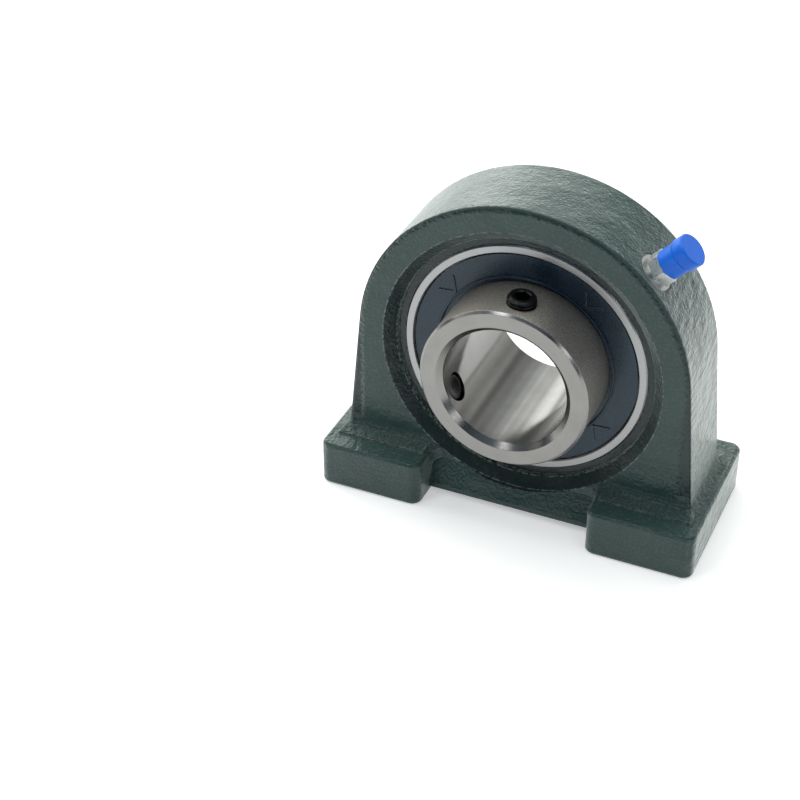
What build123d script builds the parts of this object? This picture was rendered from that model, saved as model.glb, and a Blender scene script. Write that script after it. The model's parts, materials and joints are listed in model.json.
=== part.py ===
"""Tapped-base pillow block with a self-aligning insert ball bearing, in millimetres.

The origin is on the mounting plane, under the shaft axis and midway between the two tapped
holes. Z is up, X runs along the base, and the shaft runs along Y. The long end of the inner
ring, with its two set screws, faces -Y, which is called the front here.
"""

import os
from math import cos, radians, sin, sqrt, tan

from build123d import *

# Housing casting
shaft_height = 47.6
arch_radius = 47.4
body_width = 26.0
side_flare = 5.3
edge_round = 0.9
foot_ledge = 4.24
foot_length = 30.5
foot_width = 48.0
foot_height = 13.6
foot_corner = 3.0
foot_edge = 0.9
foot_fillet = 3.2
step_width = 4.4
step_side_width = 1.2
step_lip = 0.45
step_rise = 1.1
step_end_gap = 0.6
web_relief = 2.0
skirt_width = 32.0
skirt_height = 9.0
skirt_lip = 1.4

# Recess round the insert, on both faces of the housing
recess_depth = 4.0
recess_cone_depth = 3.0
recess_gap = 1.0
recess_cone_growth = 3.0
notch_gap = 0.3

# Tapped mounting holes
bolt_spacing = 80.0
tap_radius = 6.0
tap_depth = 20.0
drill_run_out = 3.0
drill_point_height = 3.6
tap_chamfer = 0.45

# Insert bearing
sphere_radius = 36.0
seat_clearance = 0.05
ring_width = 19.0
ring_rim = 2.5
seal_seat_step = 2.4
shoulder_above_pitch = 3.05
pitch_above_land = 3.0
bore_radius = 17.5
inner_front_length = 25.4
inner_rear_length = 17.5
bore_chamfer = 1.5
land_chamfer = 0.7
ring_chamfer = 0.35

# Balls and raceways
ball_count = 9
ball_diameter = 11.112
race_conformity = 0.515
race_clearance = 0.05
first_ball_angle = 90.0

# Riveted cage
cage_sheet = 0.8
cage_pocket_clearance = 0.15
cage_land_gap = 1.1
rivet_radius = 0.6
rivet_head_radius = 1.15
rivet_head_height = 0.5
rivet_clearance = 0.03

# Seals and slingers
cage_to_shield_gap = 0.4
shield_thickness = 0.7
shield_crimp_radius = 0.5
lip_bead_width = 0.95
lip_bead_offset = 1.55
lip_clearance = 0.1
lip_edge = 0.25
shield_to_slinger_gap = 0.3
slinger_thickness = 0.6
slinger_step = 0.45
slinger_rim_gap = 0.35
slinger_collar_gap = 1.2
slinger_collar_wall = 0.6
slinger_collar_height = 0.7
slinger_edge = 0.2
stake_count = 4
first_stake_angle = 51.5
stake_length = 4.6
stake_width = 0.7
stake_height = 0.3
stake_half_angle = 42.0
stake_tip_gap = 0.4

# Set screws
screw_angles = (85.3, 205.3)
screw_setback = 7.0
screw_radius = 3.97
screw_clearance = 0.03
screw_length = 8.2
screw_tip_recess = 0.4
screw_chamfer = 0.6
screw_socket_flats = 4.0
screw_socket_depth = 4.0
screw_cup_radius = 2.2
screw_cup_depth = 1.0

# Grease way and nipple
nipple_angle = 45.0
grease_offset = 5.2
grease_groove_radius = 0.6
grease_hole_radius = 0.6
second_grease_hole = 120.0
drilling_radius = 1.25
spot_face_radius = 5.4
spot_face_depth = 0.5
nipple_thread_radius = 3.0
nipple_thread_clearance = 0.03
nipple_thread_length = 6.0
nipple_hole_spare = 0.8
hex_flats = 8.0
hex_standoff = 0.6
hex_height = 3.2
nipple_neck_radius = 2.3
nipple_head_radius = 3.2
nipple_neck_length = 2.2
nipple_head_length = 1.6
nipple_tip_length = 2.6
nipple_tip_radius = 1.7
passage_radius = 1.3
passage_throat_radius = 0.7
valve_roof = 0.9
check_ball_radius = 1.1
check_ball_clearance = 0.02
spring_wire_radius = 0.14
spring_clearance = 0.05
spring_turns = 5

# Dust cap on the nipple
cap_bore_clearance = 0.06
cap_wall = 0.85
cap_roof = 1.6
cap_roof_gap = 0.4
cap_rim_wall = 1.3
cap_rim_length = 3.2
cap_flare_length = 0.6
cap_seat_gap = 0.05
cap_edge = 0.35

# Places and sizes that follow from the ones above
flare = radians(side_flare)
body_side = arch_radius / cos(flare) + tan(flare) * (shaft_height - foot_height)
body_foot = arch_radius / cos(flare) + tan(flare) * (shaft_height - web_relief)
base_length = 2 * (body_side + foot_ledge)
foot_inner_end = base_length / 2 - foot_length
ring_face_radius = sqrt(sphere_radius**2 - (ring_width / 2) ** 2)
seal_seat_radius = ring_face_radius - ring_rim
shoulder_radius = seal_seat_radius - seal_seat_step
pitch_radius = shoulder_radius - shoulder_above_pitch
land_radius = pitch_radius - pitch_above_land
ball_radius = ball_diameter / 2
race_radius = race_conformity * ball_diameter
outer_race_centre = pitch_radius + ball_radius + race_clearance - race_radius
inner_race_centre = pitch_radius - ball_radius - race_clearance + race_radius
pocket_radius = ball_radius + cage_pocket_clearance
pocket_outside = pocket_radius + cage_sheet
cage_inside = land_radius + cage_land_gap
cage_outside = shoulder_radius - cage_land_gap
shield_start = pocket_outside + cage_to_shield_gap
shield_end = shield_start + shield_thickness
slinger_start = shield_end + shield_to_slinger_gap
slinger_plate_start = slinger_start + slinger_step
slinger_plate_end = slinger_plate_start + slinger_thickness
collar_radius = land_radius + slinger_collar_gap
shield_inside = land_radius + lip_bead_offset
seat_half_width = body_width / 2 - recess_depth
seat_radius = sphere_radius + seat_clearance
recess_radius = sphere_radius + recess_gap
recess_mouth = recess_radius + recess_cone_growth
ball_angles = [first_ball_angle + index * 360 / ball_count for index in range(ball_count)]
first_rivet_angle = first_ball_angle + 180 / ball_count
hex_base = hex_standoff
hex_top = hex_base + hex_height
nipple_top = hex_top + nipple_neck_length + nipple_head_length + nipple_tip_length
passage_roof = nipple_top - valve_roof
valve_reach = check_ball_radius + check_ball_clearance
check_ball_height = passage_roof - sqrt(valve_reach**2 - passage_throat_radius**2)

shaft_axis = Axis((0, 0, shaft_height), (0, 1, 0))
# Radius from the shaft axis is the first coordinate here, and place along the shaft the second
section_plane = Plane.XY.offset(shaft_height)


def radial_plane(angle, along, radius=0.0):
    """A plane that faces away from the shaft axis, at an angle above +X."""
    out = Vector(cos(radians(angle)), 0, sin(radians(angle)))
    foot = Vector(0, along, shaft_height)
    return Plane(origin=foot + out * radius, x_dir=(0, 1, 0), z_dir=out)


def front_plane(along):
    """A plane across the shaft that faces the front, centred on the shaft axis."""
    return Plane(origin=(0, along, shaft_height), x_dir=(1, 0, 0), z_dir=(0, -1, 0))


def save(piece, name):
    """Label a finished piece and write it as the node of that name."""
    piece.part.label = name
    export_step(piece.part, f"parts/{name}.step")


nipple_plane = radial_plane(nipple_angle, -grease_offset, arch_radius)
nipple_axis = Axis(nipple_plane.origin, nipple_plane.z_dir)
# Distance from the nipple's axis is the first coordinate here, and height above the arch the second
nipple_section = Plane(
    origin=nipple_plane.origin,
    x_dir=nipple_plane.x_dir,
    z_dir=nipple_plane.x_dir.cross(nipple_plane.z_dir),
)


def meets_body(edge):
    """Whether an edge at the height of the feet runs along the foot of the body."""
    place = edge.center()
    across = abs(place.Y) < foot_width / 2 - foot_corner
    return across and foot_inner_end + foot_edge < abs(place.X) < base_length / 2 - foot_edge


def make_feet():
    """The two blocks that the casting stands on, with rounded cast edges."""
    with BuildPart() as feet:
        with BuildSketch(Plane.XY):
            with GridLocations(base_length - foot_length, 0, 2, 1):
                RectangleRounded(foot_length, foot_width, foot_corner)
        extrude(amount=foot_height)
        fillet(feet.faces().filter_by(Axis.Z).edges(), foot_edge)
    return feet


def make_housing():
    """The casting: arched body, two feet, recessed web, spherical seat and drilled holes."""
    feet = make_feet()
    step_start = foot_inner_end + foot_edge + step_end_gap
    step_length = body_side - step_start
    block_length = step_length + step_side_width
    with BuildPart() as housing:
        # Body with its arch and flared sides
        with BuildSketch(Plane.XZ):
            with BuildLine():
                arch = CenterArc((0, shaft_height), arch_radius, side_flare, 180 - 2 * side_flare)
                left = Line(arch @ 1, (-body_foot, web_relief))
                bottom = Line(left @ 1, (body_foot, web_relief))
                Line(bottom @ 1, arch @ 0)
            make_face()
        extrude(amount=body_width / 2, both=True)
        fillet(housing.faces().filter_by(Axis.Y).edges(), edge_round)
        add(feet.part)

        # Skirt that widens the web down to the base
        with BuildSketch(Plane.YZ):
            with BuildLine():
                Polyline(
                    (-skirt_width / 2, web_relief),
                    (-skirt_width / 2, web_relief + skirt_lip),
                    (-body_width / 2, web_relief + skirt_height),
                    (body_width / 2, web_relief + skirt_height),
                    (skirt_width / 2, web_relief + skirt_lip),
                    (skirt_width / 2, web_relief),
                    close=True,
                )
            make_face()
        extrude(amount=(base_length - foot_length) / 2, both=True)

        # Fillet that runs round the body where it stands on the feet
        on_top = housing.edges().filter_by_position(Axis.Z, foot_height - 0.01, foot_height + 0.01)
        fillet(on_top.filter_by(meets_body), foot_fillet)

        # Rough step round the body where it stands on each foot: a low block with a sloped top
        for side in (-1, 1):
            block_centre = (side * (step_start + block_length / 2), 0)
            with BuildSketch(Plane.XY.offset(foot_height - foot_edge)):
                with Locations(block_centre):
                    Rectangle(block_length, body_width + 2 * step_width)
            extrude(amount=foot_edge + step_lip)
            with BuildSketch(Plane.XY.offset(foot_height + step_lip)):
                with Locations(block_centre):
                    Rectangle(block_length, body_width + 2 * step_width)
            with BuildSketch(Plane.XY.offset(foot_height + step_lip + step_rise)):
                with Locations((side * (step_start + step_length / 2), 0)):
                    Rectangle(step_length, body_width)
            loft()

        # Recess, spherical seat, and the slots that let the insert in sideways from the rear
        with BuildSketch(section_plane):
            for side in (-1, 1):
                with BuildLine():
                    Polyline(
                        (0, side * seat_half_width),
                        (recess_radius, side * seat_half_width),
                        (recess_radius, side * (body_width / 2 - recess_cone_depth)),
                        (recess_mouth, side * body_width / 2),
                        (recess_mouth, side * foot_width / 2),
                        (0, side * foot_width / 2),
                        close=True,
                    )
                make_face()
        revolve(axis=shaft_axis, mode=Mode.SUBTRACT)
        with Locations((0, 0, shaft_height)):
            Sphere(seat_radius, mode=Mode.SUBTRACT)
        with BuildSketch(front_plane(0)):
            Rectangle(2 * seat_radius, ring_width + 2 * notch_gap)
        extrude(amount=-body_width / 2, mode=Mode.SUBTRACT)

        # Blind tapped holes in the feet
        with BuildSketch(Plane.XY):
            with GridLocations(bolt_spacing, 0, 2, 1):
                Circle(tap_radius)
        extrude(amount=tap_depth + drill_run_out, mode=Mode.SUBTRACT)
        with GridLocations(bolt_spacing, 0, 2, 1):
            Cone(
                tap_radius + tap_chamfer, tap_radius, tap_chamfer,
                align=(Align.CENTER, Align.CENTER, Align.MIN), mode=Mode.SUBTRACT,
            )
        with Locations((0, 0, tap_depth + drill_run_out)):
            with GridLocations(bolt_spacing, 0, 2, 1):
                Cone(
                    tap_radius, 0, drill_point_height,
                    align=(Align.CENTER, Align.CENTER, Align.MIN), mode=Mode.SUBTRACT,
                )

        # Spot face, tapped hole and drilling for the grease nipple
        with BuildSketch(nipple_plane.offset(-spot_face_depth)):
            Circle(spot_face_radius)
        extrude(amount=2 * spot_face_radius, mode=Mode.SUBTRACT)
        with BuildSketch(nipple_plane):
            Circle(nipple_thread_radius)
        extrude(amount=-(nipple_thread_length + nipple_hole_spare), mode=Mode.SUBTRACT)
        with BuildSketch(nipple_plane):
            Circle(drilling_radius)
        extrude(amount=-(arch_radius - sphere_radius + grease_groove_radius), mode=Mode.SUBTRACT)
    return housing


def make_outer_ring():
    """The ring with the spherical outside, its raceway, seal seats and grease groove."""
    seat_depth = ring_width / 2 - shield_start
    groove_place = sqrt(sphere_radius**2 - grease_offset**2)
    with BuildPart() as ring:
        with BuildSketch(section_plane):
            Circle(sphere_radius)
            with Locations((sphere_radius / 2, 0)):
                Rectangle(sphere_radius, ring_width, mode=Mode.INTERSECT)
            Rectangle(2 * shoulder_radius, ring_width, mode=Mode.SUBTRACT)
            with GridLocations(0, ring_width - seat_depth, 1, 2):
                Rectangle(2 * seal_seat_radius, seat_depth, mode=Mode.SUBTRACT)
            with Locations((outer_race_centre, 0)):
                Circle(race_radius, mode=Mode.SUBTRACT)
            with Locations((groove_place, -grease_offset)):
                Circle(grease_groove_radius, mode=Mode.SUBTRACT)
        revolve(axis=shaft_axis)
        ends = ring.faces().filter_by(Axis.Y).group_by(Axis.Y)
        chamfer(ends[0].edges() + ends[-1].edges(), ring_chamfer)
        for angle in (nipple_angle, nipple_angle + second_grease_hole):
            with BuildSketch(radial_plane(angle, -grease_offset)):
                Circle(grease_hole_radius)
            extrude(amount=sphere_radius, mode=Mode.SUBTRACT)
    return ring


def make_inner_ring():
    """The ring that grips the shaft, with its raceway and two tapped screw holes."""
    length = inner_front_length + inner_rear_length
    middle = (bore_radius + land_radius) / 2
    with BuildPart() as ring:
        with BuildSketch(section_plane):
            with Locations((middle, inner_rear_length - length / 2)):
                Rectangle(land_radius - bore_radius, length)
            with Locations((inner_race_centre, 0)):
                Circle(race_radius, mode=Mode.SUBTRACT)
        revolve(axis=shaft_axis)
        bore_edges = ring.faces().filter_by(Axis.Y).edges().filter_by(lambda e: e.radius < middle)
        chamfer(bore_edges, bore_chamfer)
        land_edges = ring.faces().filter_by(Axis.Y).edges().filter_by(lambda e: e.radius > middle)
        chamfer(land_edges, land_chamfer)
        for angle in screw_angles:
            with BuildSketch(radial_plane(angle, screw_setback - inner_front_length)):
                Circle(screw_radius + screw_clearance)
            extrude(amount=sphere_radius, mode=Mode.SUBTRACT)
    return ring


def make_ball(angle):
    """One ball, on the pitch circle at its place in the cage."""
    with BuildPart(radial_plane(angle, 0, pitch_radius)) as ball:
        Sphere(ball_radius)
    return ball


def make_cage_half(side):
    """Half of the pressed cage: a flat ring with a round pocket over each ball."""
    centres = [radial_plane(angle, 0, pitch_radius).origin for angle in ball_angles]
    band = cage_outside - cage_inside
    middle = (cage_outside + cage_inside) / 2
    with BuildPart() as half:
        with Locations(*centres):
            Sphere(pocket_outside)
        with BuildSketch(section_plane):
            with Locations((middle, side * pocket_outside / 2)):
                Rectangle(band, pocket_outside)
        revolve(axis=shaft_axis, mode=Mode.INTERSECT)
        with BuildSketch(section_plane):
            with Locations((middle, side * cage_sheet / 2)):
                Rectangle(band, cage_sheet)
        revolve(axis=shaft_axis)
        with Locations(*centres):
            Sphere(pocket_radius, mode=Mode.SUBTRACT)
        with BuildSketch(front_plane(0)):
            with PolarLocations(pitch_radius, ball_count, start_angle=first_rivet_angle):
                Circle(rivet_radius + rivet_clearance)
        extrude(amount=2 * cage_sheet, both=True, mode=Mode.SUBTRACT)
    return half


def make_cage_rivets():
    """The rivets between the balls, each with a head on both sides."""
    with BuildPart() as rivets:
        with BuildSketch(front_plane(0)):
            with PolarLocations(pitch_radius, ball_count, start_angle=first_rivet_angle):
                Circle(rivet_radius)
        extrude(amount=cage_sheet + rivet_head_height, both=True)
        for side in (-1, 1):
            with BuildSketch(front_plane(side * cage_sheet)):
                with PolarLocations(pitch_radius, ball_count, start_angle=first_rivet_angle):
                    Circle(rivet_head_radius)
            extrude(amount=-side * rivet_head_height)
    return rivets


def make_shield(side):
    """The steel seal shield, pressed into the outer ring against its shoulder."""
    plate_centre = ((shield_inside + seal_seat_radius) / 2, side * (shield_start + shield_end) / 2)
    crimp_centre = (seal_seat_radius - shield_crimp_radius, side * (shield_start + shield_crimp_radius))
    with BuildPart() as shield:
        with BuildSketch(section_plane):
            with Locations(plate_centre):
                Rectangle(seal_seat_radius - shield_inside, shield_thickness)
            with Locations(crimp_centre):
                Circle(shield_crimp_radius)
        revolve(axis=shaft_axis)
    return shield


def make_seal_lip(side):
    """The rubber lip, bonded inside the shield and wiping the inner ring."""
    lip_inside = land_radius + lip_clearance
    bead_inside = shield_inside - lip_bead_width
    middle = (shield_start + shield_end) / 2
    with BuildPart() as lip:
        with BuildSketch(section_plane):
            with BuildLine():
                Polyline(
                    (shield_inside, side * shield_start),
                    (shield_inside, side * shield_end),
                    (bead_inside, side * shield_end),
                    (lip_inside, side * (middle + lip_edge / 2)),
                    (lip_inside, side * (middle - lip_edge / 2)),
                    (bead_inside, side * shield_start),
                    close=True,
                )
            make_face()
        revolve(axis=shaft_axis)
    return lip


def make_slinger(side):
    """The outer flinger disc, pressed on the inner ring, with a raised collar and stake marks."""
    foot_end = slinger_start + slinger_thickness
    collar_outside = collar_radius + slinger_collar_wall
    rim = seal_seat_radius - slinger_rim_gap
    collar_top = slinger_plate_end + slinger_collar_height
    with BuildPart() as slinger:
        with BuildSketch(section_plane):
            with BuildLine():
                Polyline(
                    (land_radius, side * slinger_start),
                    (collar_outside, side * slinger_start),
                    (collar_outside, side * slinger_plate_start),
                    (rim, side * slinger_plate_start),
                    (rim, side * slinger_plate_end),
                    (collar_outside, side * slinger_plate_end),
                    (collar_outside, side * collar_top),
                    (collar_radius, side * collar_top),
                    (collar_radius, side * foot_end),
                    (land_radius, side * foot_end),
                    close=True,
                )
            make_face()
        revolve(axis=shaft_axis)
        fillet(slinger.edges().filter_by(lambda e: abs(abs(e.center().Y) - collar_top) < 0.01), slinger_edge)
        with BuildSketch(front_plane(side * slinger_plate_end)):
            with PolarLocations(collar_outside + stake_tip_gap, stake_count, start_angle=first_stake_angle):
                for turn in (-stake_half_angle, stake_half_angle):
                    middle = Vector(stake_length / 2, 0).rotate(Axis.Z, turn)
                    SlotCenterPoint(middle, (0, 0), stake_width)
        extrude(amount=-side * stake_height)
    return slinger


def make_set_screw(angle):
    """A socket set screw with a cup point, standing a little out of the inner ring."""
    along = screw_setback - inner_front_length
    tip_plane = radial_plane(angle, along, bore_radius + screw_tip_recess)
    with BuildPart(tip_plane) as screw:
        Cylinder(screw_radius, screw_length, align=(Align.CENTER, Align.CENTER, Align.MIN))
        chamfer(screw.edges().filter_by(GeomType.CIRCLE), screw_chamfer)
        with BuildSketch(tip_plane.offset(screw_length)):
            RegularPolygon(screw_socket_flats / 2, 6, major_radius=False)
        extrude(amount=-screw_socket_depth, mode=Mode.SUBTRACT)
        Cone(
            screw_cup_radius, 0, screw_cup_depth,
            align=(Align.CENTER, Align.CENTER, Align.MIN), mode=Mode.SUBTRACT,
        )
    return screw


def make_nipple_body():
    """The grease nipple: threaded shank, hexagon and coupling head, bored for the valve."""
    shank_radius = nipple_thread_radius - nipple_thread_clearance
    neck_top = hex_top + nipple_neck_length
    head_top = neck_top + nipple_head_length
    with BuildPart() as nipple:
        with BuildSketch(nipple_section):
            with BuildLine():
                Polyline(
                    (0, -nipple_thread_length),
                    (shank_radius, -nipple_thread_length),
                    (shank_radius, hex_base),
                    (nipple_neck_radius, hex_top),
                    (nipple_neck_radius, neck_top - (nipple_head_radius - nipple_neck_radius)),
                    (nipple_head_radius, neck_top),
                    (nipple_head_radius, head_top),
                    (nipple_tip_radius, nipple_top),
                    (0, nipple_top),
                    close=True,
                )
            make_face()
        revolve(axis=nipple_axis)
        with BuildSketch(nipple_plane.offset(hex_base)):
            RegularPolygon(hex_flats / 2, 6, major_radius=False)
        extrude(amount=hex_height)
        with BuildSketch(nipple_plane.offset(-nipple_thread_length)):
            Circle(passage_throat_radius)
        extrude(amount=nipple_thread_length + nipple_top, mode=Mode.SUBTRACT)
        with BuildSketch(nipple_plane.offset(hex_base)):
            Circle(passage_radius)
        extrude(amount=passage_roof - hex_base, mode=Mode.SUBTRACT)
    return nipple


def make_check_ball():
    """The little ball that closes the nipple's mouth."""
    with BuildPart(nipple_plane.offset(check_ball_height)) as ball:
        Sphere(check_ball_radius)
    return ball


def make_nipple_spring():
    """The coil spring that holds the check ball against its seat."""
    low = hex_base + spring_wire_radius + spring_clearance
    high = check_ball_height - check_ball_radius - spring_wire_radius - spring_clearance
    coil_radius = passage_radius - spring_wire_radius - spring_clearance
    start = nipple_plane.offset(low)
    pitch = (high - low) / spring_turns
    with BuildPart() as spring:
        with BuildLine():
            coil = Helix(pitch, high - low, coil_radius, center=start.origin, direction=start.z_dir)
        with BuildSketch(Plane(origin=coil @ 0, z_dir=coil % 0)):
            Circle(spring_wire_radius)
        sweep(path=coil, is_frenet=True)
    return spring


def make_nipple_cap():
    """The plastic dust cap that pushes over the nipple's head."""
    base = hex_top + cap_seat_gap
    bore = nipple_head_radius + cap_bore_clearance
    outside = bore + cap_wall
    rim = bore + cap_rim_wall
    inner_top = nipple_top + cap_roof_gap
    top = inner_top + cap_roof
    with BuildPart() as cap:
        with BuildSketch(nipple_section):
            with BuildLine():
                Polyline(
                    (bore, base),
                    (outside, base),
                    (outside, top - cap_rim_length - cap_flare_length),
                    (rim, top - cap_rim_length),
                    (rim, top - cap_edge),
                    (rim - cap_edge, top),
                    (0, top),
                    (0, inner_top),
                    (bore, inner_top),
                    close=True,
                )
            make_face()
        revolve(axis=nipple_axis)
    return cap


os.makedirs("parts", exist_ok=True)

save(make_housing(), "housing")
save(make_outer_ring(), "outer_ring")
save(make_inner_ring(), "inner_ring")
for number, ball_angle in enumerate(ball_angles, 1):
    save(make_ball(ball_angle), f"ball_{number}")
save(make_cage_rivets(), "cage_rivets")
for end_name, end_side in (("front", -1), ("rear", 1)):
    save(make_cage_half(end_side), f"cage_half_{end_name}")
    save(make_shield(end_side), f"shield_{end_name}")
    save(make_seal_lip(end_side), f"seal_lip_{end_name}")
    save(make_slinger(end_side), f"slinger_{end_name}")
for number, screw_angle in enumerate(screw_angles, 1):
    save(make_set_screw(screw_angle), f"set_screw_{number}")
save(make_nipple_body(), "nipple_body")
save(make_check_ball(), "nipple_check_ball")
save(make_nipple_spring(), "nipple_spring")
save(make_nipple_cap(), "nipple_cap")
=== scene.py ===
"""Pillow block bearing: camera, light, floor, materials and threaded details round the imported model."""

import json
from math import cos, pi, radians, sin, tau

import bpy
from mathutils import Matrix, Vector


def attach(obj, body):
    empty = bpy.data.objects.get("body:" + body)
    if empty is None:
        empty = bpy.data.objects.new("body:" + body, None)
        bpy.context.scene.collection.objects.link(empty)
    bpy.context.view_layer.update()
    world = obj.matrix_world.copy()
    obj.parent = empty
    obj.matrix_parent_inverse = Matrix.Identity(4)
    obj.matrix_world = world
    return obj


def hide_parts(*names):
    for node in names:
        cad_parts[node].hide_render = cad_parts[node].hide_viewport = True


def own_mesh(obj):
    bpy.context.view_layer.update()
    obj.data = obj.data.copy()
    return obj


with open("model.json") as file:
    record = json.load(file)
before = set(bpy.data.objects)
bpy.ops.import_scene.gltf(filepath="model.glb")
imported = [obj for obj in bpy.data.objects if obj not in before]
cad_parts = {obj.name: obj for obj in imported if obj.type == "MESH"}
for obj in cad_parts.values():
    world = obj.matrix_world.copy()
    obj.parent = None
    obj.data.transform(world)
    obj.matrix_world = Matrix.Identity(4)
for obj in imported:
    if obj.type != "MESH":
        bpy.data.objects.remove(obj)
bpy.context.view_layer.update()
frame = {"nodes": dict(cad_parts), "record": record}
nodes = frame["nodes"]

MM = 0.001

# Housing, in metres: heights from its base, and places from its middle
SHAFT_HEIGHT = 47.6 * MM
ARCH_RADIUS = 47.4 * MM
FACE_PLACE = 13.0 * MM
BODY_SIDE = 50.0 * MM
BODY_FOOT = 18.0 * MM
STEP_LOW = 13.7 * MM
STEP_HIGH = 16.2 * MM
RECESS_MOUTH = 40.2 * MM
RECESS_FOOT = 37.0 * MM
SEAT_RADIUS = 36.05 * MM
SLOT_HALF_HEIGHT = 10.1 * MM
HOLE_PLACE = 40.0 * MM
HOLE_RADIUS = 6.0 * MM
HOLE_PITCH = 2.0 * MM
HOLE_END = 27.0 * MM
SHAFT_CENTRE = Vector((0, 0, SHAFT_HEIGHT))

# Grease nipple on the arch
NIPPLE_ANGLE = radians(45)
NIPPLE_WAY = Vector((cos(NIPPLE_ANGLE), 0, sin(NIPPLE_ANGLE)))
NIPPLE_PLACE = -5.2 * MM
NIPPLE_HOLE_FOOT = 38.5 * MM
SPOT_RADIUS = 5.4 * MM

# Insert bearing
RING_INSIDE = 31.5 * MM
HUB_RADIUS = 23.77 * MM
HUB_END = -25.0 * MM
BORE_RADIUS = 17.5 * MM

# Set screws, from the cup point up
SCREW_ANGLES = (85.3, 205.3)
SCREW_PLACE = -18.4 * MM
SCREW_POINT_PLACE = 17.9 * MM
SCREW_LENGTH = 8.2 * MM
SCREW_PITCH = 1.0 * MM
SCREW_CREST = 3.97 * MM
SCREW_ROOT = 3.42 * MM
SCREW_END = 3.3 * MM
CUP_RADIUS = 2.2 * MM
CUP_DEPTH = 1.0 * MM
SOCKET_MOUTH = 2.45 * MM
SOCKET_CHAMFER = 0.3 * MM
SOCKET_HALF_FLATS = 2.0 * MM
SOCKET_DEPTH = 4.0 * MM
SOCKET_TIP_DEPTH = 4.6 * MM
RING_POINTS = 48
RINGS_PER_TURN = 8

# Colours
PAINT_DEEP = (0.02, 0.058, 0.053)
PAINT_PALE = (0.028, 0.07, 0.062)
PAINT_DUST = (0.1, 0.145, 0.12)
# Painted shade in the recess
RECESS_PAINTED_SHADE = (0.003, 0.014, 0.018)
# Painted shade on the rounded outer edge of the body's faces
BRINK_PAINTED_SHADE = (0.004, 0.016, 0.018)
# Painted highlight on the rims of the recess
RIM_PAINTED_HIGHLIGHT = (0.3, 0.38, 0.36)
# Worn paint on edges, made pale partly as a painted highlight
PAINT_WORN_AND_LIT = (0.32, 0.37, 0.33)
IRON_DARK = (0.2, 0.195, 0.185)
IRON_LIGHT = (0.34, 0.33, 0.315)
IRON_SPOT_FACE = (0.5, 0.5, 0.49)
IRON_THREAD = (0.07, 0.068, 0.065)
RING_FACE = (0.33, 0.335, 0.34)
HUB_DARK = (0.27, 0.25, 0.225)
HUB_LIGHT = (0.5, 0.475, 0.44)
SLINGER_DARK = (0.004, 0.012, 0.026)
SLINGER_LIGHT = (0.009, 0.021, 0.04)
# Rubbed steel on the slinger's edges, made pale partly as a painted highlight
SLINGER_RUBBED_AND_LIT = (0.22, 0.24, 0.27)
OXIDE = (0.02, 0.02, 0.021)
OXIDE_WORN = (0.24, 0.235, 0.23)
RUBBER_DARK = (0.016, 0.016, 0.016)
RUBBER_LIGHT = (0.03, 0.03, 0.029)
CAP_DEEP = (0.006, 0.15, 0.8)
CAP_PALE = (0.01, 0.19, 0.92)
SURROUND_FRONT = (0.03, 0.05, 0.07)
SURROUND_BACK = (1.2, 1.23, 1.2)
SURROUND_TOP = (0.25, 0.31, 0.37)
WHITE = (1, 1, 1)

# Floor and light
FLOOR_HALF = 6.0
FLOOR_GAP = 0.02 * MM
LIGHT_TARGET = Vector((0, 0, 0.05))

# Camera
CAMERA_PLACE = Vector((0.137676, -0.398814, 0.321199))
CAMERA_TARGET = Vector((-0.040667, 0, 0.01698))
CAMERA_ROLL = radians(-0.06)
FOCAL_PIXELS = 1835.8
FRAME_PIXELS = 800

# Sockets of the Mix node for each kind of value: first, second and result
MIX_SOCKETS = {"FLOAT": (2, 3, 0), "RGBA": (6, 7, 2)}


def make_camera():
    """The camera at the photograph's viewing angle."""
    data = bpy.data.cameras.new("camera")
    data.sensor_width = 36
    data.lens = data.sensor_width * FOCAL_PIXELS / FRAME_PIXELS
    data.clip_start = 0.01
    data.clip_end = 20
    camera = bpy.data.objects.new("camera", data)
    bpy.context.scene.collection.objects.link(camera)
    ahead = CAMERA_TARGET - CAMERA_PLACE
    roll = Matrix.Rotation(CAMERA_ROLL, 3, "Z").to_quaternion()
    camera.rotation_mode = "QUATERNION"
    camera.location = CAMERA_PLACE
    camera.rotation_quaternion = ahead.to_track_quat("-Z", "Y") @ roll
    bpy.context.scene.camera = camera


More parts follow.
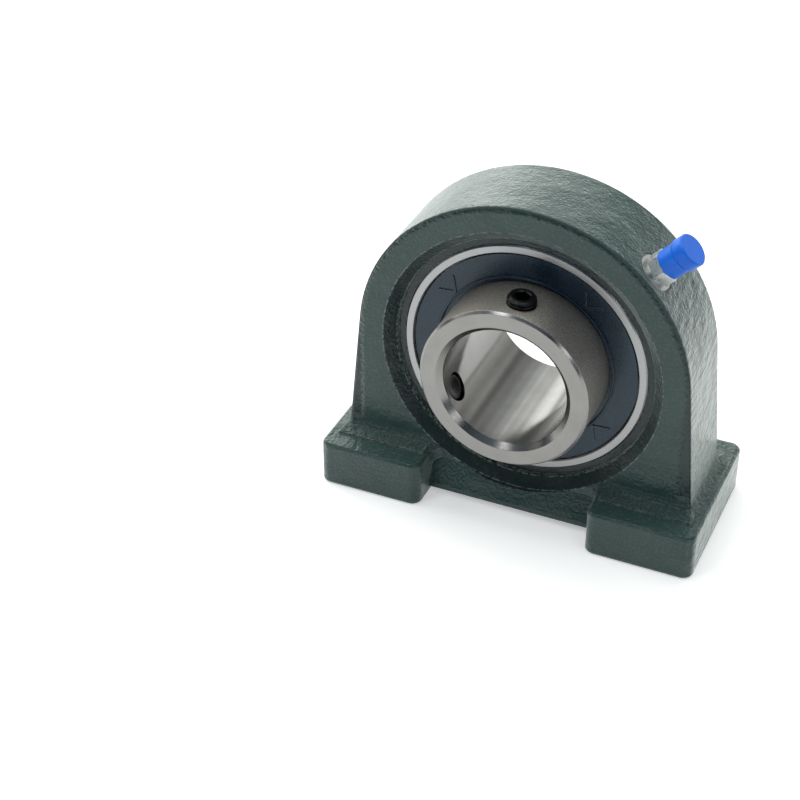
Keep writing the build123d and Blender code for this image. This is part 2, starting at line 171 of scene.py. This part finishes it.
class Graph:
    """A material, or the world, and short ways of adding nodes to it."""

    def __init__(self, name, world=False):
        self.material = (bpy.data.worlds if world else bpy.data.materials).new(name)
        self.material.use_nodes = True
        self.tree = self.material.node_tree
        self.shader = self.tree.nodes["Background" if world else "Principled BSDF"]
        self.output = self.tree.nodes["World Output" if world else "Material Output"]
        self.coordinates = self.new("ShaderNodeTexCoord").outputs
        self.place = self.coordinates["Generated" if world else "Object"]

    def new(self, kind):
        """A new node."""
        return self.tree.nodes.new(kind)

    def feed(self, socket, value):
        """Join a socket to another one, or give it a constant."""
        if isinstance(value, bpy.types.NodeSocket):
            self.tree.links.new(value, socket)
        elif isinstance(value, (tuple, list)) and len(value) == 3 and len(socket.default_value) == 4:
            socket.default_value = (*value, 1)
        else:
            socket.default_value = value

    def set(self, **values):
        """Values of the main shader's sockets, by name."""
        for name, value in values.items():
            self.feed(self.shader.inputs[name.replace("_", " ")], value)

    def math(self, operation, *values):
        """One Math node."""
        node = self.new("ShaderNodeMath")
        node.operation = operation
        for socket, value in zip(node.inputs, values):
            self.feed(socket, value)
        return node.outputs[0]

    def chain(self, operation, values):
        """One Math operation over several values, from the first to the last."""
        result = values[0]
        for value in values[1:]:
            result = self.math(operation, result, value)
        return result

    def total(self, *values):
        """The sum of some numbers."""
        return self.chain("ADD", values)

    def scale(self, value, factor):
        """A number times a factor."""
        return self.math("MULTIPLY", value, factor)

    def every(self, *masks):
        """1 where every mask is 1."""
        return self.chain("MULTIPLY", masks)

    def some(self, *masks):
        """1 where at least one mask is 1."""
        return self.chain("MAXIMUM", masks)

    def ramp(self, value, low, high, start=0.0, end=1.0):
        """A smooth step from start, at low, to end, at high."""
        node = self.new("ShaderNodeMapRange")
        node.interpolation_type = "SMOOTHSTEP"
        for name, number in (("From Min", low), ("From Max", high), ("To Min", start), ("To Max", end)):
            node.inputs[name].default_value = number
        self.feed(node.inputs["Value"], value)
        return node.outputs[0]

    def below(self, value, limit, soft=0.08 * MM):
        """1 where a value is below a limit."""
        return self.ramp(value, limit - soft, limit + soft, 1.0, 0.0)

    def above(self, value, limit, soft):
        """1 where a value is above a limit."""
        return self.ramp(value, limit - soft, limit + soft)

    def between(self, value, low, high, rise):
        """1 where a value is between two limits, after a soft rise from the low one."""
        return self.every(self.ramp(value, low, low + rise), self.below(value, high))

    def vector(self, operation, *values):
        """One Vector Math node."""
        node = self.new("ShaderNodeVectorMath")
        node.operation = operation
        for socket, value in zip(node.inputs, values):
            self.feed(socket, value)
        return node.outputs["Value" if operation in ("LENGTH", "DOT_PRODUCT", "DISTANCE") else "Vector"]

    def split(self, value):
        """The three parts of a vector."""
        node = self.new("ShaderNodeSeparateXYZ")
        self.feed(node.inputs[0], value)
        return node.outputs

    def join(self, x, y, z):
        """A vector from three parts."""
        node = self.new("ShaderNodeCombineXYZ")
        for socket, value in zip(node.inputs, (x, y, z)):
            self.feed(socket, value)
        return node.outputs[0]

    def stretch(self, vector, factor):
        """A vector, or a colour, times a number."""
        return self.vector("MULTIPLY", vector, self.join(factor, factor, factor))

    def noise(self, size, detail=2.0, at=None, roughness=0.5):
        """Noise with features of about that size in metres, from 0 to 1."""
        node = self.new("ShaderNodeTexNoise")
        self.feed(node.inputs["Vector"], at or self.place)
        node.inputs["Scale"].default_value = 1 / size
        node.inputs["Detail"].default_value = detail
        node.inputs["Roughness"].default_value = roughness
        return node.outputs["Fac"]

    def mixture(self, kind, factor, first, second):
        """One Mix node for values of one kind."""
        first_socket, second_socket, result_socket = MIX_SOCKETS[kind]
        node = self.new("ShaderNodeMix")
        node.data_type = kind
        self.feed(node.inputs[0], factor)
        self.feed(node.inputs[first_socket], first)
        self.feed(node.inputs[second_socket], second)
        return node.outputs[result_socket]

    def mix(self, factor, first, second):
        """A blend of two colours."""
        return self.mixture("RGBA", factor, first, second)

    def blend(self, factor, first, second):
        """A blend of two numbers."""
        return self.mixture("FLOAT", factor, first, second)

    def bump(self, height, normal=None):
        """A bump whose height is in metres."""
        node = self.new("ShaderNodeBump")
        self.feed(node.inputs["Height"], height)
        node.inputs["Distance"].default_value = 1.0
        if normal is not None:
            self.feed(node.inputs["Normal"], normal)
        return node.outputs[0]

    def soft_edge(self, radius):
        """The surface's normal with its edges rounded to a radius."""
        node = self.new("ShaderNodeBevel")
        node.samples = 6
        node.inputs["Radius"].default_value = radius
        return node.outputs[0]

    def edge_mask(self, radius, gain):
        """Near 1 where the surface bends within a radius, and 0 on plain faces."""
        plain = self.new("ShaderNodeNewGeometry").outputs["Normal"]
        turn = self.vector("DOT_PRODUCT", self.soft_edge(radius), plain)
        return self.ramp(self.math("SUBTRACT", 1.0, turn), 0.0, gain)

    def rays(self):
        """What kind of ray meets the surface."""
        return self.new("ShaderNodeLightPath").outputs

    def offset(self, origin):
        """The way from a point."""
        return self.vector("SUBTRACT", self.place, tuple(origin))

    def from_shaft(self):
        """The distance from the shaft axis."""
        across = self.vector("MULTIPLY", self.offset(SHAFT_CENTRE), (1, 0, 1))
        return self.vector("LENGTH", across)

    def along_shaft(self):
        """The place along the shaft axis."""
        return self.split(self.place)[1]

    def round_the_shaft(self):
        """The direction round the shaft axis."""
        turn = self.vector("CROSS_PRODUCT", (0, 1, 0), self.offset(SHAFT_CENTRE))
        node = self.new("ShaderNodeVectorTransform")
        node.vector_type = "VECTOR"
        node.convert_from = "OBJECT"
        node.convert_to = "WORLD"
        self.feed(node.inputs[0], self.vector("NORMALIZE", turn))
        return node.outputs[0]


class HousingGraph(Graph):
    """The housing's material, with the masks that lay out its finish."""

    def __init__(self, name):
        super().__init__(name)
        x, self.y, self.z = self.split(self.place)
        self.side = self.math("ABSOLUTE", x)
        self.radius = self.from_shaft()
        self.from_centre = self.vector("LENGTH", self.offset(SHAFT_CENTRE))
        self.along = self.math("ABSOLUTE", self.y)
        self.in_body = self.below(self.along, FACE_PLACE + 0.2 * MM)
        self.facing_front = self.math("ABSOLUTE", self.split(self.coordinates["Normal"])[1])
        self.front = self.ramp(self.facing_front, 0.5, 0.9)
        self.grains = self.noise(0.8 * MM, 2, roughness=0.6)
        self.holes = self.tapped_holes()
        self.spot = self.spot_face()
        self.bare = self.some(self.seat(), self.loading_slots(), self.holes, self.spot)
        self.brink = self.ragged_brink()

    def seat(self):
        """1 on the seat of the insert."""
        return self.below(self.from_centre, SEAT_RADIUS + 0.1 * MM, 0.04 * MM)

    def loading_slots(self):
        """1 in the slots behind the seat, which the insert goes in through."""
        rise = self.math("ABSOLUTE", self.math("SUBTRACT", self.z, SHAFT_HEIGHT))
        in_width = self.below(self.side, SEAT_RADIUS + 0.2 * MM)
        return self.every(in_width, self.below(rise, SLOT_HALF_HEIGHT), self.ramp(self.y, 0, MM))

    def tapped_holes(self):
        """1 in the tapped holes under the feet."""
        from_axis = self.join(self.math("SUBTRACT", self.side, HOLE_PLACE), self.y, 0.0)
        near = self.below(self.vector("LENGTH", from_axis), HOLE_RADIUS + 0.25 * MM)
        return self.every(near, self.below(self.z, HOLE_END))

    def spot_face(self):
        """1 on the nipple's spot face and in its hole."""
        out = self.offset(SHAFT_CENTRE + Vector((0, NIPPLE_PLACE, 0)))
        height = self.vector("DOT_PRODUCT", out, tuple(NIPPLE_WAY))
        beside = self.vector("SUBTRACT", out, self.stretch(tuple(NIPPLE_WAY), height))
        near = self.below(self.vector("LENGTH", beside), SPOT_RADIUS - 0.15 * MM)
        return self.every(near, self.above(height, NIPPLE_HOLE_FOOT, 0.5 * MM))

    def step_band(self):
        """1 on the low step round the body on each foot."""
        rise = self.above(self.z, STEP_LOW, 0.3 * MM)
        fall = self.ramp(self.z, STEP_HIGH, STEP_HIGH + MM, 1, 0)
        past_face = self.ramp(self.along, FACE_PLACE - 0.2 * MM, FACE_PLACE + 0.3 * MM)
        past_side = self.ramp(self.side, BODY_SIDE, BODY_SIDE + MM)
        return self.every(rise, fall, self.some(past_face, past_side))

    def ragged_brink(self):
        """1 in a ragged line along the outer edge of the body's two faces."""
        girth = self.blend(self.above(self.z, SHAFT_HEIGHT, MM), self.side, self.radius)
        girth = self.total(girth, self.scale(self.noise(1.2 * MM, 3), 1.6 * MM))
        outer = self.ramp(girth, ARCH_RADIUS - MM, ARCH_RADIUS + 0.5 * MM)
        return self.every(outer, self.front, self.above(self.z, BODY_FOOT, MM), self.in_body)

    def painted_rim_highlights(self):
        """1 in patches along the two rims of the recess, where a highlight is painted."""
        mouth = self.between(self.radius, RECESS_MOUTH - 0.45 * MM, RECESS_MOUTH, 0.15 * MM)
        foot = self.between(self.radius, RECESS_FOOT - 0.2 * MM, RECESS_FOOT + 0.25 * MM, 0.2 * MM)
        patches = self.ramp(self.noise(0.9 * MM, 3), 0.42, 0.58)
        return self.every(self.some(mouth, foot), self.in_body, patches)

    def worn_and_lit_edges(self):
        """1 on edges that are worn and take a painted highlight: in patches at the feet and the recess's
        mouth, in specks elsewhere.
        """
        low = self.ramp(self.z, BODY_FOOT, BODY_FOOT + 3 * MM, 1, 0)
        mouth = self.between(self.radius, RECESS_MOUTH - 0.8 * MM, RECESS_MOUTH + 0.3 * MM, 0.3 * MM)
        patches = self.ramp(self.noise(1.1 * MM, 3), 0.4, 0.55)
        specks = self.ramp(self.noise(0.8 * MM, 2), 0.6, 0.68)
        worn = self.blend(self.some(low, mouth), specks, patches)
        return self.every(self.edge_mask(0.5 * MM, 0.16), worn)

    def cast_relief(self):
        """Heights of the painted casting."""
        # Lumps and ripples on the arch and sides, with pits
        ripples = self.noise(1.9 * MM, 2, at=self.vector("MULTIPLY", self.place, (1.0, 0.35, 1.0)))
        coarse = self.total(
            self.scale(self.noise(2.2 * MM, 3, roughness=0.6), 0.24 * MM),
            self.scale(self.grains, 0.16 * MM),
            self.scale(ripples, self.ramp(self.side, 22 * MM, 44 * MM, 0.08 * MM, 0.5 * MM)),
            self.scale(self.ramp(self.noise(1.3 * MM, 1), 0.62, 0.78), -0.07 * MM),
        )

        # Calmer faces and recess wall
        calm = self.total(self.scale(self.noise(3 * MM, 2), 0.14 * MM), self.scale(self.grains, 0.2 * MM))
        slanted = self.ramp(self.facing_front, 0.995, 0.9)
        recess_wall = self.every(self.below(self.radius, RECESS_MOUTH), slanted)
        cast = self.blend(self.some(self.front, recess_wall), coarse, calm)

        # Waves all over, a rough step on the feet and a worn brink
        waves = self.scale(self.noise(9 * MM, 1), 0.5 * MM)
        rough = self.scale(self.noise(1.5 * MM, 4, roughness=0.6), 1.3 * MM)
        step = self.scale(rough, self.step_band())
        return self.total(cast, waves, step, self.scale(self.brink, -0.4 * MM))

    def machined_relief(self):
        """Heights of the bare places: turning marks, and the thread of the tapped holes."""
        angle = self.math("ARCTAN2", self.y, self.math("SUBTRACT", self.side, HOLE_PLACE))
        turns = self.total(self.math("DIVIDE", self.z, HOLE_PITCH), self.math("DIVIDE", angle, tau))
        ridge = self.math("ABSOLUTE", self.math("SUBTRACT", self.math("FRACT", turns), 0.5))
        thread = self.every(self.scale(ridge, HOLE_PITCH), self.holes)
        marks = self.noise(0.16 * MM, 1, at=self.join(self.from_centre, 0.0, self.y))
        return self.total(self.scale(marks, 0.008 * MM), thread)

    def paint(self):
        """Paint colour: dusty; painted shade in the recess and on the brink; a painted highlight on the
        recess rims; worn edges made pale, partly as a painted highlight.
        """
        paint = self.mix(self.ramp(self.noise(14 * MM, 3), 0.3, 0.7), PAINT_DEEP, PAINT_PALE)
        dust = self.ramp(self.noise(0.8 * MM, 2), 0.45, 0.75, 0.0, 0.25)
        paint = self.mix(dust, paint, PAINT_DUST)
        # Painted shade: the whole recess is darkened, where shade falls in it
        recess = self.below(self.radius, RECESS_MOUTH)
        paint = self.mix(self.scale(recess, 0.8), paint, RECESS_PAINTED_SHADE)
        # Painted shade: a dark ragged line along the body's rounded outer edge
        paint = self.mix(self.scale(self.brink, 0.6), paint, BRINK_PAINTED_SHADE)
        # Painted highlight: pale patches along the recess rims
        paint = self.mix(self.scale(self.painted_rim_highlights(), 0.5), paint, RIM_PAINTED_HIGHLIGHT)
        # Worn paint and a painted highlight: pale along edges
        return self.mix(self.scale(self.worn_and_lit_edges(), 0.8), paint, PAINT_WORN_AND_LIT)

    def iron(self):
        """Colour of bare iron, pale on the spot face and dark in the tapped holes."""
        iron = self.mix(self.noise(3 * MM, 3), IRON_DARK, IRON_LIGHT)
        iron = self.mix(self.spot, iron, IRON_SPOT_FACE)
        return self.mix(self.holes, iron, IRON_THREAD)


def painted_iron():
    """Grey-green machine paint on rough cast iron, bare where the casting is machined."""
    graph = HousingGraph("painted_iron")
    heights = graph.blend(graph.bare, graph.cast_relief(), graph.machined_relief())
    relief = graph.bump(heights, graph.soft_edge(0.35 * MM))
    graph.set(Normal=relief, Coat_Normal=relief)
    graph.set(Base_Color=graph.mix(graph.bare, graph.paint(), graph.iron()))
    graph.set(Metallic=graph.scale(graph.bare, 0.9))
    paint_gloss = graph.blend(graph.noise(1.7 * MM, 2), 0.28, 0.46)
    graph.set(Roughness=graph.blend(graph.bare, paint_gloss, 0.33))
    graph.set(Specular_IOR_Level=0.1, Coat_Weight=1.0, Coat_Roughness=0.14, Coat_IOR=1.38)
    graph.set(Sheen_Weight=0.8, Sheen_Roughness=0.35, Sheen_Tint=(0.92, 1, 0.95))
    return graph.material


def turned_steel(name, light, dark, roughness):
    """Turned steel with fine marks round the shaft axis, and a dull skin on the hub's outside."""
    graph = Graph(name)
    radius = graph.from_shaft()
    along = graph.along_shaft()

    # Turning marks
    rings = graph.join(radius, along, 0.0)
    fine = graph.noise(0.14 * MM, 2, at=rings)
    broad = graph.noise(0.9 * MM, 2, at=rings)
    marks = graph.total(graph.scale(fine, 0.0035 * MM), graph.scale(broad, 0.007 * MM))
    graph.set(Normal=graph.bump(marks, graph.soft_edge(0.12 * MM)))

    # The hub's outside and the bore
    hub_band = graph.between(radius, HUB_RADIUS - 0.12 * MM, HUB_RADIUS + 0.3 * MM, 0.07 * MM)
    hub = graph.every(hub_band, graph.ramp(along, HUB_END, HUB_END + 0.1 * MM))
    bore = graph.between(radius, BORE_RADIUS - MM, BORE_RADIUS + 0.1 * MM, 0.5 * MM)

    # Colour
    smear = graph.noise(6 * MM, 3)
    tone = graph.mix(graph.blend(0.5, smear, fine), dark, light)
    tone = graph.mix(graph.ramp(radius, RING_INSIDE, RING_INSIDE + 0.5 * MM), tone, RING_FACE)
    grain = graph.noise(0.45 * MM, 4, roughness=0.7)
    dull = graph.mix(graph.ramp(grain, 0.3, 0.7), HUB_DARK, HUB_LIGHT)
    graph.set(Base_Color=graph.mix(hub, tone, dull))

    # Gloss
    gloss = graph.blend(graph.blend(0.6, smear, broad), roughness - 0.07, roughness + 0.1)
    gloss = graph.blend(bore, gloss, graph.blend(grain, 0.12, 0.24))
    graph.set(Roughness=graph.blend(hub, gloss, 0.42), Metallic=graph.blend(hub, 1.0, 0.82))
    graph.set(Anisotropic=0.55, Anisotropic_Rotation=0.25, Tangent=graph.round_the_shaft())
    return graph.material


def plain_metal(name, light, dark, roughness, grain_size, depth, metallic=1.0):
    """Metal with a small grain and a little change of colour."""
    graph = Graph(name)
    grain = graph.noise(grain_size, 3)
    graph.set(Normal=graph.bump(graph.scale(grain, depth), graph.soft_edge(0.1 * MM)))
    graph.set(Base_Color=graph.mix(graph.noise(2.5 * MM, 2), dark, light))
    graph.set(Roughness=graph.blend(grain, roughness - 0.06, roughness + 0.08), Metallic=metallic)
    return graph.material


def black_sheet():
    """Black coated sheet steel with a satin skin and a few rubbed places, made pale on edges, partly as a
    painted highlight.
    """
    graph = Graph("slinger_black")
    swirl = graph.noise(0.5 * MM, 2, at=graph.join(graph.from_shaft(), graph.along_shaft(), 0.0))
    skin = graph.noise(0.35 * MM, 2)
    heights = graph.total(graph.scale(swirl, 0.006 * MM), graph.scale(skin, 0.005 * MM))
    graph.set(Normal=graph.bump(heights, graph.soft_edge(0.1 * MM)))
    base = graph.mix(graph.ramp(graph.noise(7 * MM, 3), 0.3, 0.7), SLINGER_DARK, SLINGER_LIGHT)
    # Rubbed edges and a painted highlight: pale patches along the slinger's edges
    rubbed_and_lit = graph.every(graph.edge_mask(0.22 * MM, 0.2), graph.ramp(graph.noise(0.9 * MM, 2), 0.35, 0.6))
    graph.set(Base_Color=graph.mix(graph.scale(rubbed_and_lit, 0.6), base, SLINGER_RUBBED_AND_LIT))
    graph.set(Roughness=graph.blend(skin, 0.22, 0.36), Specular_IOR_Level=0.6, Specular_Tint=(0.75, 0.9, 1))
    return graph.material


def black_oxide():
    """Black oxide on the screws, oily, with steel showing on the thread's crests."""
    graph = Graph("screw_black")
    grain = graph.noise(0.3 * MM, 2)
    graph.set(Normal=graph.bump(graph.scale(grain, 0.006 * MM), graph.soft_edge(0.06 * MM)))
    worn = graph.every(graph.edge_mask(0.12 * MM, 0.3), graph.ramp(graph.noise(0.7 * MM, 2), 0.4, 0.65))
    graph.set(Base_Color=graph.mix(graph.scale(worn, 0.5), OXIDE, OXIDE_WORN))
    graph.set(Roughness=graph.blend(grain, 0.26, 0.38), Metallic=0.85)
    return graph.material


def rubber():
    """Matt black seal rubber."""
    graph = Graph("seal_rubber")
    grain = graph.noise(0.2 * MM, 2)
    graph.set(Normal=graph.bump(graph.scale(grain, 0.008 * MM)))
    graph.set(Base_Color=graph.mix(graph.noise(4 * MM, 2), RUBBER_DARK, RUBBER_LIGHT))
    graph.set(Roughness=graph.blend(grain, 0.55, 0.75))
    return graph.material


def blue_plastic():
    """Moulded blue polyethylene, satin and slightly see-through."""
    graph = Graph("cap_plastic")
    skin = graph.noise(0.6 * MM, 2)
    graph.set(Normal=graph.bump(graph.scale(skin, 0.02 * MM), graph.soft_edge(0.25 * MM)))
    graph.set(Base_Color=graph.mix(graph.noise(3 * MM, 2), CAP_DEEP, CAP_PALE))
    graph.set(Roughness=graph.blend(skin, 0.3, 0.42), Specular_IOR_Level=0.35)
    graph.set(Subsurface_Weight=0.12, Subsurface_Radius=(0.3, 0.5, 1.0), Subsurface_Scale=0.8 * MM)
    return graph.material


def make_materials():
    """Every material by the slot that it finishes."""
    return {
        "painted_iron": painted_iron(),
        "ring_steel": turned_steel(
            "ring_steel", light=(0.33, 0.325, 0.315), dark=(0.19, 0.187, 0.18), roughness=0.24
        ),
        "ball_steel": plain_metal(
            "ball_steel", light=(0.8, 0.8, 0.79), dark=(0.7, 0.7, 0.7),
            roughness=0.1, grain_size=0.4 * MM, depth=0.0005 * MM,
        ),
        "cage_steel": plain_metal(
            "cage_steel", light=(0.62, 0.6, 0.56), dark=(0.45, 0.43, 0.4),
            roughness=0.34, grain_size=0.5 * MM, depth=0.01 * MM,
        ),
        "shield_steel": turned_steel(
            "shield_steel", light=(0.5, 0.5, 0.5), dark=(0.38, 0.38, 0.38), roughness=0.36
        ),
        "slinger_black": black_sheet(),
        "seal_rubber": rubber(),
        "screw_black": black_oxide(),
        "nipple_zinc": plain_metal(
            "nipple_zinc", light=(0.95, 0.96, 0.96), dark=(0.86, 0.88, 0.89),
            roughness=0.28, grain_size=0.9 * MM, depth=0.001 * MM, metallic=0.85,
        ),
        "spring_steel": plain_metal(
            "spring_steel", light=(0.6, 0.6, 0.6), dark=(0.45, 0.45, 0.45),
            roughness=0.25, grain_size=0.3 * MM, depth=0.004 * MM,
        ),
        "cap_plastic": blue_plastic(),
    }


def finish_nodes(materials):
    """Give every CAD node the material of its slot."""
    for part in frame["record"]["subparts"]:
        data = nodes[part["node"]].data
        data.materials.clear()
        data.materials.append(materials[part["material_slot"]])


def lathe_mesh(name, rings, tip_low, tip_high, way, start, angle_zero):
    """A closed mesh from rings of (radius, height) points, with a point at each end."""
    side = way.cross(angle_zero)
    count = len(rings[0])
    points = [start + way * tip_low]
    for ring in rings:
        for index, (radius, height) in enumerate(ring):
            turn = tau * index / count
            points.append(start + way * height + (angle_zero * cos(turn) + side * sin(turn)) * radius)
    points.append(start + way * tip_high)
    faces = [(0, 1 + (i + 1) % count, 1 + i) for i in range(count)]
    for level in range(len(rings) - 1):
        low = 1 + level * count
        for i in range(count):
            j = (i + 1) % count
            faces.append((low + i, low + j, low + count + j, low + count + i))
    last = 1 + (len(rings) - 1) * count
    top = len(points) - 1
    faces += [(last + i, last + (i + 1) % count, top) for i in range(count)]
    mesh = bpy.data.meshes.new(name)
    mesh.from_pydata(points, [], faces)
    mesh.update()
    piece = bpy.data.objects.new(name, mesh)
    bpy.context.scene.collection.objects.link(piece)
    for polygon in mesh.polygons:
        polygon.use_smooth = True
    mesh.set_sharp_from_angle(angle=radians(32))
    return piece


def round_ring(radius, height):
    """A round ring of a screw."""
    return [(radius, height)] * RING_POINTS


def socket_ring(height):
    """A hexagonal ring of a screw's socket."""
    ring = []
    for index in range(RING_POINTS):
        off = index % (RING_POINTS // 6) * tau / RING_POINTS - pi / 6
        ring.append((SOCKET_HALF_FLATS / cos(off), height))
    return ring


def thread_ring(height):
    """A ring across a screw's thread, cut down to the chamfer near both ends."""
    chamfer = SCREW_END + min(height, SCREW_LENGTH - height)
    ring = []
    for index in range(RING_POINTS):
        phase = (height / SCREW_PITCH - index / RING_POINTS) % 1
        from_root = 2 * abs(phase - 0.5)
        ridge = min(1, max(0, 2.6 * from_root - 0.8))
        ring.append((min(SCREW_ROOT + (SCREW_CREST - SCREW_ROOT) * ridge, chamfer), height))
    return ring


def screw_rings():
    """The rings of a set screw, from its cup point along the thread and into its socket."""
    rings = [round_ring(CUP_RADIUS, 0.0), round_ring(SCREW_END, 0.0)]
    levels = int(SCREW_LENGTH * RINGS_PER_TURN / SCREW_PITCH)
    for level in range(1, levels):
        rings.append(thread_ring(SCREW_LENGTH * level / levels))
    rings.append(round_ring(SCREW_END, SCREW_LENGTH))
    rings.append(round_ring(SOCKET_MOUTH, SCREW_LENGTH))
    rings.append(socket_ring(SCREW_LENGTH - SOCKET_CHAMFER))
    rings.append(socket_ring(SCREW_LENGTH - SOCKET_DEPTH))
    return rings


def set_screw(number, angle, material):
    """An M8 socket set screw with its thread, hexagon socket and cup point."""
    way = Vector((cos(radians(angle)), 0, sin(radians(angle))))
    start = SHAFT_CENTRE + Vector((0, SCREW_PLACE, 0)) + way * SCREW_POINT_PLACE
    tip = SCREW_LENGTH - SOCKET_TIP_DEPTH
    name = f"set_screw_{number}_detail"
    piece = lathe_mesh(name, screw_rings(), CUP_DEPTH, tip, way, start, Vector((0, 1, 0)))
    piece.data.materials.append(material)
    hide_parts(f"set_screw_{number}")
    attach(piece, f"set_screw_{number}")


def valve_spring(material):
    """The nipple's coil spring as a piece of its own, fixed to the housing."""
    solid = nodes["nipple_spring"]
    spring = bpy.data.objects.new("nipple_spring_detail", solid.data.copy())
    bpy.context.scene.collection.objects.link(spring)
    spring.matrix_world = solid.matrix_world.copy()
    spring.data.materials.clear()
    spring.data.materials.append(material)
    points = [solid.matrix_world @ vertex.co for vertex in solid.data.vertices]
    points.sort(key=NIPPLE_WAY.dot)
    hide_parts("nipple_spring")
    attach(spring, "housing")
    tuple(points[0])
    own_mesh(spring)


def floor_material():
    """A pale floor that keeps shadows, and glows to the camera and in reflections, more far away."""
    graph = Graph("floor")
    matt = graph.new("ShaderNodeBsdfDiffuse")
    matt.inputs["Color"].default_value = (0.9, 0.9, 0.9, 1)
    glow = graph.new("ShaderNodeEmission")
    graph.feed(glow.inputs["Color"], WHITE)
    rays = graph.rays()
    seen = graph.some(rays["Is Camera Ray"], rays["Is Glossy Ray"])
    strength = graph.ramp(graph.vector("LENGTH", graph.place), 0.4, 1.2, 0.42, 1.0)
    graph.feed(glow.inputs["Strength"], graph.scale(seen, strength))
    both = graph.new("ShaderNodeAddShader")
    graph.feed(both.inputs[0], matt.outputs[0])
    graph.feed(both.inputs[1], glow.outputs[0])
    graph.tree.nodes.remove(graph.shader)
    graph.feed(graph.output.inputs[0], both.outputs[0])
    return graph.material


def make_floor():
    """A plain pale floor, just clear of the object's underside."""
    mesh = bpy.data.meshes.new("floor")
    signs = ((-1, -1), (1, -1), (1, 1), (-1, 1))
    corners = [(x * FLOOR_HALF, y * FLOOR_HALF, -FLOOR_GAP) for x, y in signs]
    mesh.from_pydata(corners, [], [(0, 1, 2, 3)])
    mesh.materials.append(floor_material())
    floor = bpy.data.objects.new("floor", mesh)
    bpy.context.scene.collection.objects.link(floor)


def panel_light(name, place, width, height, radiance, colour=WHITE):
    """A soft rectangular light that faces the object, with its brightness as a radiance."""
    data = bpy.data.lights.new(name, "AREA")
    data.shape = "RECTANGLE"
    data.size = width
    data.size_y = height
    data.energy = radiance * pi * width * height
    data.color = colour
    light = bpy.data.objects.new(name, data)
    light.location = place
    light.rotation_mode = "QUATERNION"
    light.rotation_quaternion = (LIGHT_TARGET - Vector(place)).to_track_quat("-Z", "Y")
    bpy.context.scene.collection.objects.link(light)


def make_lights():
    """Soft panels above and on the left, a weak one on the right and two small lamps in front."""
    panel_light("top", (0.0, 0.2, 1.3), width=1.0, height=1.0, radiance=2.35, colour=(1, 0.99, 0.88))
    panel_light("left", (-1.1, 0.1, 0.8), width=1.0, height=0.8, radiance=2.4, colour=(1, 0.96, 0.9))
    panel_light("right", (1.2, -0.5, 0.6), width=1.0, height=0.8, radiance=0.35, colour=(0.8, 0.92, 1))
    panel_light("lamp", (-0.42, -0.55, 1.05), width=0.3, height=0.3, radiance=6.0)
    panel_light("glint", (0.9, -0.72, 0.55), width=0.3, height=0.3, radiance=3.0)


def make_surround():
    """A soft surround: bright behind, dim in front, patchy, stronger on the left, white to the camera."""
    graph = Graph("studio", world=True)
    x, y, z = graph.split(graph.place)
    around = graph.mix(graph.ramp(y, -0.3, 0.5), SURROUND_FRONT, SURROUND_BACK)
    patches = graph.ramp(graph.noise(0.3, 2), 0.36, 0.62, 0.35, 1.5)
    sideways = graph.ramp(x, -0.35, 0.45, 1.5, 0.55)
    around = graph.stretch(around, graph.scale(patches, sideways))
    around = graph.mix(graph.ramp(z, 0.5, 0.9), around, SURROUND_TOP)
    graph.set(Color=graph.mix(graph.rays()["Is Camera Ray"], around, WHITE))
    bpy.context.scene.world = graph.material


def set_colour_view():
    """Plain colour output."""
    bpy.context.scene.view_settings.view_transform = "Standard"


set_colour_view()
make_camera()
make_floor()
make_lights()
make_surround()
finishes = make_materials()
finish_nodes(finishes)
for screw_number, screw_angle in enumerate(SCREW_ANGLES, 1):
    set_screw(screw_number, screw_angle, finishes["screw_black"])
valve_spring(finishes["spring_steel"])
